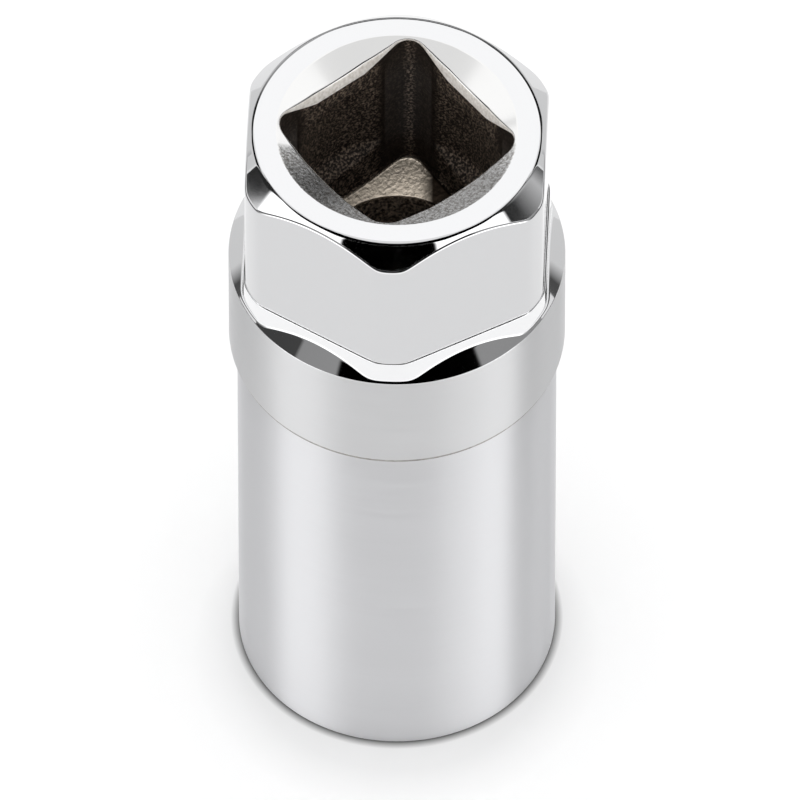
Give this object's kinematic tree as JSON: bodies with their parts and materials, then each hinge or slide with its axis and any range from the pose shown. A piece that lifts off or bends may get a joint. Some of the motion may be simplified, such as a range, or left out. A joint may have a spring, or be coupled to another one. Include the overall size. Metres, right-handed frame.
{
  "type": "spark plug socket",
  "caption": "Deep round socket with a square drive recess, wrench flats, a raised collar and a plain barrel, holding a rubber insert that grips a spark plug.",
  "frame": {"origin": "centre of the plug end's rim, on the face that the socket stands on", "axes": "+Z along the socket's axis towards the drive end, X and Y square to the walls of the drive square"},
  "size_m": [0.0242, 0.0242, 0.057],
  "materials": {
    "chrome_plating": "polished chrome plating",
    "black_rubber": "matt moulded rubber"
  },
  "bodies": {
    "root": {"socket_body": "chrome_plating", "rubber_insert": "black_rubber"}
  },
  "joints": []
}
